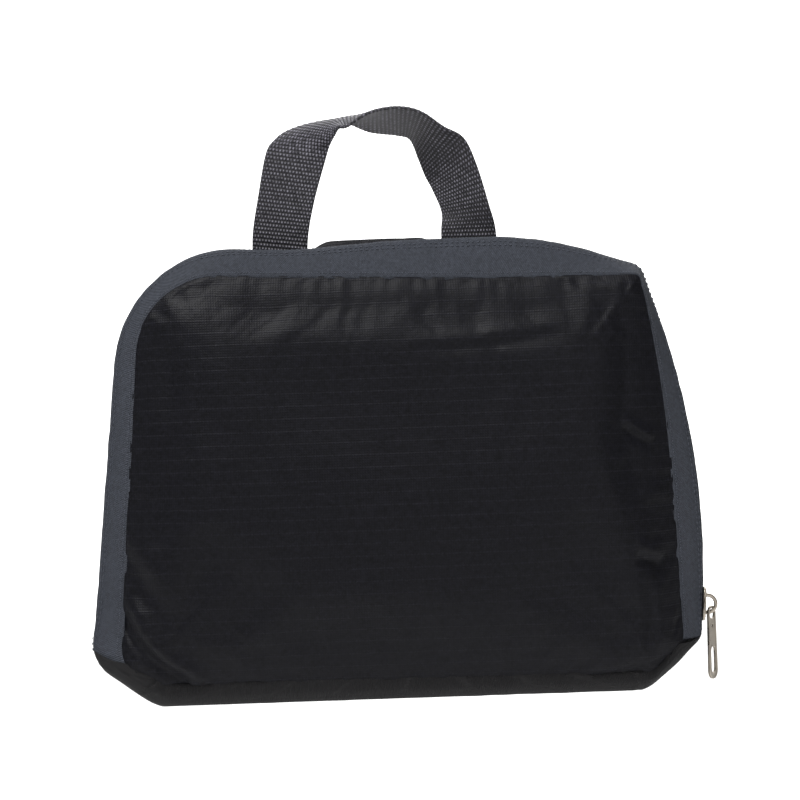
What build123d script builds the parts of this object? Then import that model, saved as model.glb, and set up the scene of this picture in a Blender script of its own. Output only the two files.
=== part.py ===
from build123d import *
import os
from math import cos, radians, sin, tan

# Hanging toiletry bag: two soft halves joined along their base, a zip round the other three sides,
# and a webbing handle. Millimetres. +Z is up, the front faces -Y and +X is the front view's right.
# The origin is in the middle of the flat base, below the zip, and the zip closes in the plane y = 0.

# Outline of the closed zip, in the XZ plane
ZIP_LEFT = -137.1
ZIP_TOP = 204.5
BASE_LEFT = -106.0
BASE_RIGHT = 107.0
BASE_RADIUS = 20.0
LEFT_FOOT = 22.0
LEFT_FOOT_RADIUS = 14.0
TOP_LEFT = -116.9
TOP_LEFT_RADIUS = 60.0
TOP_BREAK = 68.0
TOP_BREAK_RADIUS = 150.0
RIGHT_FOOT_LENGTH = 10.5
RIGHT_FOOT_RADIUS = 9.0
RIGHT_SHOULDER_LENGTH = 20.3
RIGHT_SHOULDER_RADIUS = 8.0

# The right side is an arc that the slider follows
RUN_X = -202.6
RUN_Z = 62.1
RUN_RADIUS = 340.8
RUN_LOW = -5.0
RUN_HIGH = 18.5
OUTLINE_WIDTH = 275.0

# Sections of each half: depth from the zip plane, scale, inset of the left side, height of the base
ZIP_GAP = 0.6
ZIP_FLAT = 4.2
FRONT_SEAM = 10.0
FRONT_HEM = 14.5
FRONT_PROFILE = [
    (ZIP_GAP, 1.0, 0.0, 0.0),
    (ZIP_FLAT, 0.995, 0.6, 0.0),
    (FRONT_SEAM, 0.915, 10.5, 0.0),
    (FRONT_HEM, 0.875, 14.0, 8.5),
    (21.0, 0.80, 25.0, 18.0),
    (26.0, 0.60, 52.0, 45.0),
]
REAR_SEAM = 14.0
REAR_HEM = 17.5
REAR_PROFILE = [
    (ZIP_GAP, 1.0, 0.0, 0.0),
    (ZIP_FLAT, 0.997, 0.4, 0.0),
    (REAR_SEAM, 0.985, 2.0, 0.0),
    (REAR_HEM, 0.955, 6.0, 6.0),
    (26.0, 0.88, 17.0, 14.0),
    (32.0, 0.66, 46.0, 40.0),
]

# Layers, measured inwards from the outside
SKIN = 0.9
FOAM_FROM = 1.0
FOAM_TO = 3.0
LINING_FROM = 3.1
LINING_TO = 3.7
BINDING_TO = 2.4
BINDING_BEFORE_SEAM = 2.5
BINDING_PAST_SEAM = 0.4
PADDING_PAST_SEAM = 0.5
MOUTH = 2.0
COIL_FROM = 0.95
COIL_TO = 2.5
COIL_DEPTH = 2.2
RISE_SHARE = 0.75
SEAM_STEP = 2

# Base strip, as the height of its upper edge along the base
STRIP_HEIGHT = 8.6
STRIP_END_HEIGHT = 21.5
STRIP_FLAT = 110.0
STRIP_END = 133.0

# The rear base strip laps this far past the zip plane, along the fold between the halves
FOLD_LAP = 0.25
FOLD_LENGTH = 180.0
FOLD_THICKNESS = 0.6

# Pockets
POCKET_TOP = 105.0
ELASTIC_HEIGHT = 8.0
MESH = 0.5
ELASTIC = 1.3
POCKET_INSET = 3.8
FRONT_POCKET_DEPTH = 15.8
REAR_POCKET_DEPTH = 22.0

# Slider, in its own frame: X away from the bag, Z along the zip
SLIDER_ANGLE = -4.3
PLATE_LENGTH = 15.0
PLATE_WIDTH = 9.0
PLATE = 1.2
PLATE_CLEARANCE = 0.4
PLATE_CORNER = 3.2
INNER_PLATE_LENGTH = 13.0
INNER_PLATE_WIDTH = 7.0
INNER_PLATE = 1.0
INNER_PLATE_CORNER = 2.5
INNER_PLATE_FROM = 3.2
POST_LENGTH = 2.6
POST_WIDTH = 0.6
POST_DROP = 5.0
POST_BITE = 0.4
ARCH_RADIUS = 3.9
ARCH_WIRE = 0.55
ARCH_LEG = 1.0

# Pull, which hangs plumb on the arch and is turned about its own length
PULL_ON_ARCH = 26.0
PULL_TURN = 56.0
PULL_LENGTH = 33.0
PULL_TOP_WIDTH = 6.8
PULL_FOOT_WIDTH = 8.0
PULL_THICKNESS = 1.2
PULL_HOLE = 4.8
PULL_HOLE_CORNER = 2.16
PULL_HEAD = 3.4
PULL_PLAY = 1.0
PULL_WINDOW = (3.0, 10.5, -20.5)
PULL_WINDOW_CORNER = 1.47
PULL_DIMPLE = (0.8, -5.6)

# Webbing handle
WEB_WIDTH = 25.0
WEB_THICKNESS = 1.8
WEB_Y = 14.8
WEB_FOOT = 208.2
TAB_TOP = 204.4
TAB_LENGTH = 16.0
LEFT_LEG = -46.4
RIGHT_LEG = 38.6

# The handle's two edges, station by station from the left leg over the top to the right leg:
# x, z and distance behind the fold line, for each edge
HANDLE_EDGES = [
    ((LEFT_LEG - WEB_WIDTH / 2, WEB_FOOT, 0.0), (LEFT_LEG + WEB_WIDTH / 2, WEB_FOOT, 0.0)),
    ((-55.5, 226.0, 0.0), (-30.0, 224.5, 0.0)),
    ((-50.5, 245.0, 0.5), (-25.2, 241.5, -0.5)),
    ((-41.5, 254.5, 7.0), (-21.0, 250.0, -6.5)),
    ((-31.0, 258.2, 11.3), (-18.9, 254.6, -10.3)),
    ((-17.0, 259.4, 12.2), (-14.5, 257.6, -12.2)),
    ((-5.0, 255.4, 12.0), (-4.5, 262.2, -12.0)),
    ((9.0, 253.4, 11.3), (9.5, 264.0, -11.3)),
    ((14.6, 249.5, 10.6), (21.0, 260.5, -10.6)),
    ((17.8, 240.0, 7.8), (33.5, 250.8, -7.8)),
    ((22.4, 229.0, 4.5), (42.5, 238.5, -4.5)),
    ((26.4, 218.5, 2.0), (48.2, 220.0, -2.0)),
    ((RIGHT_LEG - WEB_WIDTH / 2, WEB_FOOT, 0.0), (RIGHT_LEG + WEB_WIDTH / 2, WEB_FOOT, 0.0)),
]

FAR = 400.0


def run_point(angle):
    """Point on the right side's arc."""
    return RUN_X + RUN_RADIUS * cos(radians(angle)), RUN_Z + RUN_RADIUS * sin(radians(angle))


def past_run(angle, length):
    """Point further along the tangent of the right side's arc."""
    x, z = run_point(angle)
    return x - length * sin(radians(angle)), z + length * cos(radians(angle))


def outline_corners():
    """Corners of the zip's outline, anticlockwise from the base's left end, each with its radius."""
    half_turn = radians((RUN_HIGH - RUN_LOW) / 2)
    right_middle = past_run(RUN_LOW, RUN_RADIUS * tan(half_turn))
    return [
        ((BASE_LEFT, 0.0), BASE_RADIUS),
        ((BASE_RIGHT, 0.0), BASE_RADIUS),
        (past_run(RUN_LOW, -RIGHT_FOOT_LENGTH), RIGHT_FOOT_RADIUS),
        (right_middle, RUN_RADIUS),
        (past_run(RUN_HIGH, RIGHT_SHOULDER_LENGTH), RIGHT_SHOULDER_RADIUS),
        ((TOP_BREAK, ZIP_TOP), TOP_BREAK_RADIUS),
        ((TOP_LEFT, ZIP_TOP), TOP_LEFT_RADIUS),
        ((ZIP_LEFT, LEFT_FOOT), LEFT_FOOT_RADIUS),
    ]


def section(side, depth, scale, left, rise, inset):
    """The outline, scaled and set inwards, in the plane at this depth."""
    scale = scale - 2 * inset / OUTLINE_WIDTH
    left = ZIP_LEFT + left + inset
    rise = rise + RISE_SHARE * inset
    points = []
    corner_radii = []
    for (x, z), radius in outline_corners():
        points.append((left + (x - ZIP_LEFT) * scale, rise + z * scale))
        corner_radii.append(radius * scale)
    plane = Plane(origin=(0, side * depth, 0), x_dir=(1, 0, 0), z_dir=(0, -1, 0))
    return Wire((plane * FilletPolyline(*points, radius=corner_radii, close=True)).edges())


def cup(side, profile, inset, mouth=0.0):
    """One half's body, set inwards, with its open face moved out by mouth and its depth cut by the inset."""
    wires = []
    if mouth:
        wires.append(section(side, ZIP_GAP - mouth, 1.0, 0.0, 0.0, inset))
    for step, (depth, scale, left, rise) in enumerate(profile):
        if step > SEAM_STEP:
            depth = depth - inset
        wires.append(section(side, depth, scale, left, rise, inset))
    return Solid.make_loft(wires, ruled=True)


def layer(side, profile, outside, inside):
    """The fabric between two insets, open towards the zip."""
    return cup(side, profile, outside) - cup(side, profile, inside, mouth=MOUTH)


def slab(side, near, far):
    """Everything between two depths."""
    return Pos(0, side * (near + far) / 2, 0) * Box(FAR, far - near, 2 * FAR)


def strip_region():
    """Everything below the base strip's upper edge."""
    corners = [
        (-FAR, -FAR),
        (FAR, -FAR),
        (FAR, STRIP_END_HEIGHT),
        (STRIP_END, STRIP_END_HEIGHT),
        (STRIP_FLAT, STRIP_HEIGHT),
        (-STRIP_FLAT, STRIP_HEIGHT),
        (-STRIP_END, STRIP_END_HEIGHT),
        (-FAR, STRIP_END_HEIGHT),
    ]
    return extrude(Plane.XZ * make_face(Polyline(*corners, close=True)), FAR / 2, both=True)


def between_heights(low, high):
    """Everything between two heights."""
    return Pos(0, 0, (low + high) / 2) * Box(FAR, FAR, high - low)


def handle_tab(leg):
    """The sewn-in end of one leg of the handle."""
    return Pos(leg, WEB_Y, TAB_TOP - TAB_LENGTH / 2) * Box(WEB_WIDTH, WEB_THICKNESS, TAB_LENGTH)


def half(name, side, profile, seam, hem, pocket_depth, openings):
    """All the pieces of one half of the bag, by node name."""
    low = strip_region()
    skin = layer(side, profile, 0.0, SKIN)
    at_zip = slab(side, 0.0, seam)
    at_hem = slab(side, 0.0, hem)
    at_binding = slab(side, seam - BINDING_BEFORE_SEAM, seam + BINDING_PAST_SEAM)
    past_seam = slab(side, seam + PADDING_PAST_SEAM, FAR)
    at_coil = slab(side, ZIP_GAP, COIL_DEPTH)
    pocket = cup(side, profile, POCKET_INSET)
    mesh_far = pocket_depth + MESH
    elastic_near = pocket_depth - (ELASTIC - MESH) / 2
    elastic_far = elastic_near + ELASTIC
    pieces = {
        "panel": skin - at_zip - (low & at_hem),
        "zip_tape": (skin & at_zip) - low,
        "bottom_strip": skin & at_hem & low,
        "zip_coil": (layer(side, profile, COIL_FROM, COIL_TO) & at_coil) - low,
        "seam_binding": layer(side, profile, FOAM_FROM, BINDING_TO) & at_binding,
        "foam": layer(side, profile, FOAM_FROM, FOAM_TO) & past_seam,
        "lining": layer(side, profile, LINING_FROM, LINING_TO) & past_seam,
        "mesh_pocket": pocket & slab(side, pocket_depth, mesh_far) & between_heights(-FAR, POCKET_TOP),
        "pocket_elastic": pocket
        & slab(side, elastic_near, elastic_far)
        & between_heights(POCKET_TOP, POCKET_TOP + ELASTIC_HEIGHT),
    }
    if side > 0:
        lap = Box(FOLD_LENGTH, ZIP_GAP + FOLD_LAP, FOLD_THICKNESS)
        lap = Pos(0, (ZIP_GAP - FOLD_LAP) / 2, FOLD_THICKNESS / 2) * lap
        pieces["bottom_strip"] = pieces["bottom_strip"] + lap
    for cutter in openings:
        for piece in ("panel", "zip_tape", "seam_binding", "foam", "lining"):
            pieces[piece] = pieces[piece] - cutter
    return {f"{name}_{piece}": shape for piece, shape in pieces.items()}


def slider_place():
    """Where the slider's own frame sits on the right side's arc."""
    return Pos(RUN_X, 0, RUN_Z) * Rot(0, -SLIDER_ANGLE, 0) * Pos(RUN_RADIUS, 0, 0)


def slider_plate(near, thickness, width, length, corner):
    """One of the slider's plates, with rounded corners."""
    plate = Pos(near + thickness / 2, 0, 0) * Box(thickness, width, length)
    return fillet(plate.edges().filter_by(Axis.X), corner)


def slider_body():
    """Two plates, the post between them and the arch that carries the pull."""
    arch_x = PLATE_CLEARANCE + PLATE + ARCH_LEG
    outer = slider_plate(PLATE_CLEARANCE, PLATE, PLATE_WIDTH, PLATE_LENGTH, PLATE_CORNER)
    inner_near = -INNER_PLATE_FROM - INNER_PLATE
    inner = slider_plate(
        inner_near, INNER_PLATE, INNER_PLATE_WIDTH, INNER_PLATE_LENGTH, INNER_PLATE_CORNER
    )
    post_depth = INNER_PLATE_FROM + PLATE_CLEARANCE + POST_BITE
    post_x = (PLATE_CLEARANCE - INNER_PLATE_FROM) / 2
    post = Pos(post_x, 0, -POST_DROP) * Box(post_depth, POST_WIDTH, POST_LENGTH)
    ring = Rot(90, 0, 0) * Torus(ARCH_RADIUS, ARCH_WIRE)
    arch = Pos(arch_x, 0, 0) * (ring & Pos(FAR / 2, 0, 0) * Box(FAR, FAR, FAR))
    shape = outer + inner + post + arch
    for end in (-1, 1):
        leg = Rot(0, 90, 0) * Cylinder(ARCH_WIRE, 2 * ARCH_LEG)
        shape = shape + Pos(arch_x - ARCH_LEG, 0, end * ARCH_RADIUS) * leg
    return slider_place() * shape


def arch_centre():
    """Centre of the slider's arch, which is the pivot of the pull."""
    reach = RUN_RADIUS + PLATE_CLEARANCE + PLATE + ARCH_LEG
    angle = radians(SLIDER_ANGLE)
    return RUN_X + reach * cos(angle), RUN_Z + reach * sin(angle)


def pull_shape():
    """The pull in its own frame: the hole at the origin, the width along X, hanging down -Y."""
    foot = PULL_HEAD - PULL_LENGTH
    outline = make_hull(
        [
            *Circle(PULL_TOP_WIDTH / 2).edges(),
            *(Pos(0, foot + PULL_FOOT_WIDTH / 2) * Circle(PULL_FOOT_WIDTH / 2)).edges(),
        ]
    )
    hole = RectangleRounded(PULL_HOLE, PULL_HOLE, PULL_HOLE_CORNER)
    window_width, window_length, window_y = PULL_WINDOW
    window = Pos(0, window_y) * RectangleRounded(window_width, window_length, PULL_WINDOW_CORNER)
    dimple_radius, dimple_y = PULL_DIMPLE
    dimple = Pos(0, dimple_y) * Circle(dimple_radius)
    return extrude(outline - hole - window - dimple, PULL_THICKNESS / 2, both=True)


def zip_pull():
    """The pull, hung on the arch."""
    centre_x, centre_z = arch_centre()
    hang = radians(PULL_ON_ARCH)
    drop = PULL_HOLE / 2 - ARCH_WIRE - PULL_PLAY
    place = Pos(centre_x + ARCH_RADIUS * sin(hang), 0, centre_z - ARCH_RADIUS * cos(hang) - drop)
    return place * Rot(0, 0, PULL_TURN) * Rot(90, 0, 0) * pull_shape()


def triangle(*corners):
    """A flat face on three corners."""
    return Face(Wire.make_polygon(corners, close=True))


def faceted(rings):
    """A closed solid of flat triangles through rings of four corners each.

    Opposite sides are split along the same diagonal, so that a twisted span keeps its thickness.
    """
    faces = []
    for near, far in zip(rings, rings[1:]):
        for i in (0, 1, 3):
            j = (i + 1) % 4
            faces.append(triangle(near[i], near[j], far[j]))
            faces.append(triangle(near[i], far[j], far[i]))
        faces.append(triangle(near[2], near[3], far[2]))
        faces.append(triangle(near[3], far[3], far[2]))
    for ring in (rings[0], list(reversed(rings[-1]))):
        faces.append(triangle(ring[2], ring[1], ring[0]))
        faces.append(triangle(ring[3], ring[2], ring[0]))
    return Solid(Shell(faces))


def handle_webbing():
    """The handle's ribbon, from one fold line over the top to the other."""
    edges = [[Vector(x, WEB_Y + y, z) for x, z, y in pair] for pair in HANDLE_EDGES]
    middles = [(first + second) / 2 for first, second in edges]
    last = len(edges) - 1
    rings = []
    for i, (first, second) in enumerate(edges):
        ahead = middles[min(i + 1, last)] - middles[max(i - 1, 0)]
        if i in (0, last):
            ahead = Vector(0, 0, 1 if i == 0 else -1)
        out = (second - first).cross(ahead).normalized() * (WEB_THICKNESS / 2)
        rings.append([first - out, second - out, second + out, first + out])
    return faceted(rings)


def main():
    """Build every piece and write it as its own STEP file."""
    os.makedirs("parts", exist_ok=True)
    tabs = [handle_tab(LEFT_LEG), handle_tab(RIGHT_LEG)]
    nodes = {}
    nodes.update(half("rear", 1, REAR_PROFILE, REAR_SEAM, REAR_HEM, REAR_POCKET_DEPTH, tabs))
    nodes.update(half("front", -1, FRONT_PROFILE, FRONT_SEAM, FRONT_HEM, FRONT_POCKET_DEPTH, []))
    nodes["handle_end_left"] = tabs[0]
    nodes["handle_end_right"] = tabs[1]
    nodes["handle_webbing"] = handle_webbing()
    nodes["slider_body"] = slider_body()
    nodes["zip_pull"] = zip_pull()
    for name, shape in nodes.items():
        export_step(shape, f"parts/{name}.step")


main()
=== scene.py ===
"""Hanging toiletry bag: the fabric, trim and hardware that dress the bag's fixed frame."""

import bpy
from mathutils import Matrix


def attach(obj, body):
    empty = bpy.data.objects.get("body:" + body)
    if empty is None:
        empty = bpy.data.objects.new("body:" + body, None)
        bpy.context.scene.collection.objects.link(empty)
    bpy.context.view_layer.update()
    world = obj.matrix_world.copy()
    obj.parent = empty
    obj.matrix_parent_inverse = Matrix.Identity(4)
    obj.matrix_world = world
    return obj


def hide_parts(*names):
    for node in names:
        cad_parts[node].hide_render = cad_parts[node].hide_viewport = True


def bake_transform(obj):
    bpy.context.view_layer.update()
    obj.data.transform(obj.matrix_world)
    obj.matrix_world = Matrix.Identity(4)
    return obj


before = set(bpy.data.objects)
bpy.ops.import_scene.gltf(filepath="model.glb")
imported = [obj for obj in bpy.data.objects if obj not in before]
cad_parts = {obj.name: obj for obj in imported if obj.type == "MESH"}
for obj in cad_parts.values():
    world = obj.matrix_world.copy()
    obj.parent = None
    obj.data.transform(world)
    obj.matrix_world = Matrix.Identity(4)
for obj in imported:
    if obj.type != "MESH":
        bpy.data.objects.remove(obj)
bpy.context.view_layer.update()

from math import cos, exp, pi, radians, sin, tan

import bmesh
import bpy
import numpy as np
from mathutils import Matrix, Vector, kdtree, noise

bl_info = {
    "name": "Hanging Toiletry Bag",
    "version": (1, 0, 0),
    "blender": (4, 5, 0),
    "location": "View3D > Sidebar > Bag",
    "description": "Adds the fabric, trim and hardware of a hanging toiletry bag",
    "category": "Add Mesh",
}

MM = 0.001
MIDDLE = Vector((0.0, 0.0, 95.0))
# The bag hangs by its handle, so the floor lies below the front half when that is let down, in metres
FLOOR_Z = -0.235

# Swelling of the outer panels: the pressure inside, the cloth's spare length as a share, and how far a
# point may move, in millimetres
SWELL_PRESSURE = 1.2
SWELL_SLACK = 0.008
SWELL_CAP = 4.0

# The right side of the zip is an arc about this point, in the XZ plane. Outlines are in millimetres.
RUN_X = -202.6
RUN_Z = 62.1
RUN_RADIUS = 340.8
SLIDER_ANGLE = -4.3

# Corners (x, z, radius), anticlockwise from the base's left end, and how many steps each corner and the
# side after it are drawn in. The outlines share the steps, so a point on one belongs to the point with
# the same number on the others.
CORNER_STEPS = (12, 12, 6, 70, 8, 16, 38, 10)
SIDE_STEPS = (100, 12, 4, 8, 10, 75, 56, 10)
SHARP_CORNERS = (0, 1, 2, 4, 6, 7)
ZIP_CORNERS = (
    (-107.0, 0.0, 24.0),
    (109.0, 0.0, 18.0),
    (135.99, 21.94, 9.0),
    (143.08, 103.01, 340.8),
    (114.15, 189.49, 8.0),
    (68.0, 204.5, 150.0),
    (-116.9, 204.5, 58.0),
    (-137.1, 22.0, 14.0),
)
FRONT_SEAM_CORNERS = (
    (-104.0, 9.0, 15.0),
    (113.0, 7.8, 8.0),
    (127.5, 22.0, 5.0),
    (123.6, 136.0, 500.0),
    (113.2, 185.8, 3.0),
    (45.0, 186.2, 150.0),
    (-109.8, 192.8, 38.0),
    (-123.8, 20.0, 10.0),
)
REAR_SEAM_CORNERS = tuple(
    (-135.1 + (x + 137.1) * 0.985, 7.5 + z * 0.948, radius) for x, z, radius in ZIP_CORNERS
)

# Where the base strip ends on the outlines, and how far its ends slant, in steps
STEPS = sum(CORNER_STEPS) + sum(SIDE_STEPS)
RIGHT_FOOT = CORNER_STEPS[0] + SIDE_STEPS[0] + CORNER_STEPS[1] + SIDE_STEPS[1]
LEFT_FOOT = STEPS - SIDE_STEPS[7] - CORNER_STEPS[7]

# The zip dips beside the handle's left leg: how far, at which x, and over what half-width
TAPE_DIP = 2.8
TAPE_DIP_X = -42.0
TAPE_DIP_WIDTH = 32.0

# The handle's two edges from the left leg over the top to the right leg: x, z and y behind its fold line
WEB_Y = 14.8
WEB_WIDTH = 25.0
HANDLE_EDGES = (
    ((-60.0, 191.6, 0.0), (-34.8, 188.4, 0.0)),
    ((-59.8, 209.6, 0.0), (-34.6, 206.4, 0.0)),
    ((-56.6, 227.6, 0.0), (-31.2, 223.6, 0.0)),
    ((-52.6, 246.4, 0.5), (-25.6, 241.8, -0.5)),
    ((-48.8, 252.6, 3.0), (-23.2, 248.6, -2.8)),
    ((-42.4, 257.4, 7.6), (-20.6, 252.9, -7.4)),
    ((-30.4, 260.9, 11.0), (-18.4, 256.2, -11.0)),
    ((-17.4, 261.4, 12.3), (-14.4, 256.6, -12.2)),
    ((-5.0, 256.2, 12.0), (-4.2, 262.6, -12.0)),
    ((7.6, 254.2, 11.4), (7.8, 264.7, -11.4)),
    ((13.8, 251.8, 10.8), (18.4, 262.4, -10.8)),
    ((17.4, 242.0, 8.2), (28.6, 255.6, -8.2)),
    ((19.8, 234.6, 6.0), (37.8, 250.2, -6.0)),
    ((23.0, 227.6, 3.8), (43.4, 237.8, -3.8)),
    ((26.6, 217.5, 2.0), (48.2, 220.6, -2.0)),
    ((26.1, 208.2, 0.0), (51.1, 208.2, 0.0)),
    ((26.1, 190.0, 0.0), (51.1, 190.0, 0.0)),
)
# The webbing bows up where it turns over, at this place along its edges' points, by this much
WEB_BOW_AT = 7.4
WEB_BOW = 3.0

# The slider's arch and the pull that hangs on it. The slider's own frame has X away from the bag and Z
# along the zip.
ARCH_X = 2.6
ARCH_RADIUS = 3.9
ARCH_WIRE = 0.85
PULL_HANG = 26.0
PULL_TURN = 56.0
PULL_DROP = 0.85
PULL_LENGTH = 33.0
PULL_HEAD = 3.4
PULL_TOE = 4.0
PULL_HOLE = 4.8
PULL_WINDOW = (4.2, 12.0, -20.8)

# Folds pressed into the front panel: half-width, height (a valley is negative) and the points it follows
FRONT_FOLDS = (
    (4.0, 0.9, ((8.0, 159.5), (28.0, 159.8), (52.0, 161.6), (80.0, 165.5))),
    (3.2, -0.9, ((10.0, 155.5), (30.0, 155.6), (54.0, 157.4), (78.0, 160.5))),
    (8.8, 2.0, ((-121.0, 88.0), (-112.0, 70.0), (-100.0, 51.5), (-92.0, 42.0))),
    (6.2, -1.9, ((-122.0, 72.0), (-112.0, 54.0), (-99.0, 37.0))),
    (5.2, 2.1, ((-123.0, 62.0), (-116.0, 48.0), (-108.0, 36.0), (-97.0, 26.0))),
    (3.2, -2.4, ((-124.0, 46.0), (-117.0, 31.0), (-107.0, 20.0), (-92.0, 10.5))),
    (3.5, 2.2, ((-120.0, 49.0), (-112.0, 34.0), (-102.0, 23.0), (-84.0, 11.5))),
    (2.5, 1.7, ((102.0, 123.0), (109.3, 117.0), (117.0, 112.7))),
    (2.5, -1.5, ((103.0, 118.5), (109.0, 113.2), (116.5, 109.0))),
    (3.0, 1.8, ((106.0, 66.0), (113.0, 64.0), (118.5, 59.5))),
    (3.0, -1.5, ((106.0, 60.0), (112.0, 58.5), (118.0, 54.0))),
    (4.0, 1.0, ((118.5, 92.0), (112.7, 86.5), (103.6, 80.5))),
    (3.8, 1.0, ((105.5, 52.0), (108.0, 34.0), (106.5, 12.0))),
    (3.2, -0.9, ((110.5, 50.0), (112.0, 32.0), (110.5, 12.0))),
    (3.2, 0.9, ((115.5, 48.0), (116.0, 32.0), (114.0, 14.0))),
    (11.2, -0.9, ((-108.0, 170.0), (-92.0, 140.0), (-70.0, 112.0))),
    (10.0, 0.7, ((-96.0, 176.0), (-78.0, 150.0), (-58.0, 126.0))),
)


def linear(hex_colour):
    """Linear RGBA of an sRGB hex colour."""
    rgba = []
    for start in (1, 3, 5):
        value = int(hex_colour[start : start + 2], 16) / 255
        rgba.append(value / 12.92 if value <= 0.04045 else ((value + 0.055) / 1.055) ** 2.4)
    return (*rgba, 1.0)


def colour_property(name, description, hex_colour):
    """A colour that can be changed in the panel."""
    return bpy.props.FloatVectorProperty(
        name=name, description=description, subtype="COLOR", size=4, min=0, max=1, default=linear(hex_colour)
    )


def length_property(name, description, millimetres):
    """A length that can be changed in the panel."""
    return bpy.props.FloatProperty(
        name=name, description=description, default=millimetres * MM, unit="LENGTH", precision=5
    )


class BagSizes(bpy.types.PropertyGroup):
    """Sizes of the fabric and trim."""

    ripstop_grid: length_property("Ripstop grid", "Distance between reinforcing threads", 5.5)
    front_crown: length_property("Front crown", "How far the front panel stands over its seam", 8.0)
    front_belly: length_property("Front belly", "Extra depth of the front panel's lower half", 7.0)
    rear_crown: length_property("Rear crown", "How far the rear panel stands over its seam", 9.0)
    rear_belly: length_property("Rear belly", "Extra depth of the rear panel's lower half", 7.0)
    pucker: length_property("Pucker height", "Height of the gathers along the seams", 0.55)
    web_thickness: length_property("Webbing thickness", "Thickness of the handle's webbing", 1.8)
    web_row: length_property("Webbing row", "Distance between the webbing's weft rows", 1.8)
    stitch: length_property("Stitch length", "Distance between one stitch and the next", 2.4)
    coil_pitch: length_property("Coil pitch", "Distance between one tooth and the next", 1.4)
    net: length_property("Net opening", "Distance between the mesh pocket's cords", 3.0)


class BagColours(bpy.types.PropertyGroup):
    """Colours of the fabric and trim."""

    ripstop: colour_property("Ripstop", "Outer panels", "#0A0A0E")
    strip: colour_property("Strip", "Strip along the base", "#0B0A0C")
    tape: colour_property("Zip tape", "Woven tape of the zip", "#292C33")
    # The webbing's two colours are painted shade in the grooves between its threads and a painted highlight
    # on the threads' crowns
    web_groove_painted_shade: colour_property("Webbing ground", "Between the webbing's threads", "#0D0C10")
    web_crown_painted_highlight: colour_property("Webbing thread", "Crowns of the webbing's threads", "#72707A")
    nickel: colour_property("Nickel", "Slider and pull", "#9A9287")
    lining: colour_property("Lining", "Inner face of both halves", "#4A4C52")
    foam: colour_property("Foam", "Padding behind the panels", "#3A3A3C")
    net: colour_property("Net", "Mesh pockets", "#1E1E20")
    binding: colour_property("Binding", "Tape over the inner seams", "#242427")
    coil: colour_property("Coil", "Teeth of the zip", "#34363B")
    thread: colour_property("Thread", "Stitching", "#3C3F47")


def outline(corners):
    """Points (x, z) round a closed outline with round corners."""
    points = []
    arcs = []
    for k, (x, z, radius) in enumerate(corners):
        here = Vector((x, z))
        before = (Vector(corners[k - 1][:2]) - here).normalized()
        after = (Vector(corners[(k + 1) % len(corners)][:2]) - here).normalized()
        half = before.angle(after) / 2
        centre = here + (before + after).normalized() * (radius / sin(half))
        first = here + before * (radius / tan(half)) - centre
        last = here + after * (radius / tan(half)) - centre
        arcs.append((centre, first, first.angle_signed(last)))
    for k, (centre, first, turn) in enumerate(arcs):
        for step in range(CORNER_STEPS[k]):
            spin = Matrix.Rotation(-turn * step / CORNER_STEPS[k], 2)
            points.append(centre + spin @ first)
        end = centre + Matrix.Rotation(-turn, 2) @ first
        following = arcs[(k + 1) % len(arcs)]
        start = following[0] + following[1]
        for step in range(SIDE_STEPS[k]):
            points.append(end.lerp(start, step / SIDE_STEPS[k]))
    return points


def travelled(points):
    """Distance along a line of points, point by point."""
    distances = [0.0]
    for a, b in zip(points, points[1:]):
        distances.append(distances[-1] + (b - a).length)
    return distances


def matched(corners, guide):
    """Points on an outline opposite the guide's points, in step between their sharp corners."""
    own = outline(corners)
    points = [None] * STEPS
    middles = [sum(CORNER_STEPS[:k]) + sum(SIDE_STEPS[:k]) + CORNER_STEPS[k] // 2 for k in SHARP_CORNERS]
    for first, last in zip(middles, [*middles[1:], middles[0] + STEPS]):
        run = [own[i % STEPS] for i in range(first, last + 1)]
        shares = np.array(travelled([guide[i % STEPS] for i in range(first, last + 1)]))
        reach = travelled(run)
        places = shares / shares[-1] * reach[-1]
        xs = np.interp(places, reach, [point.x for point in run])
        zs = np.interp(places, reach, [point.y for point in run])
        for i, x, z in zip(range(first, last), xs, zs):
            points[i % STEPS] = Vector((x, z))
    return points


def smooth(value, low=0.0, high=1.0):
    """0 below low, 1 above high, and a soft step between."""
    share = min(max((value - low) / (high - low), 0.0), 1.0)
    return share * share * (3 - 2 * share)


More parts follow.
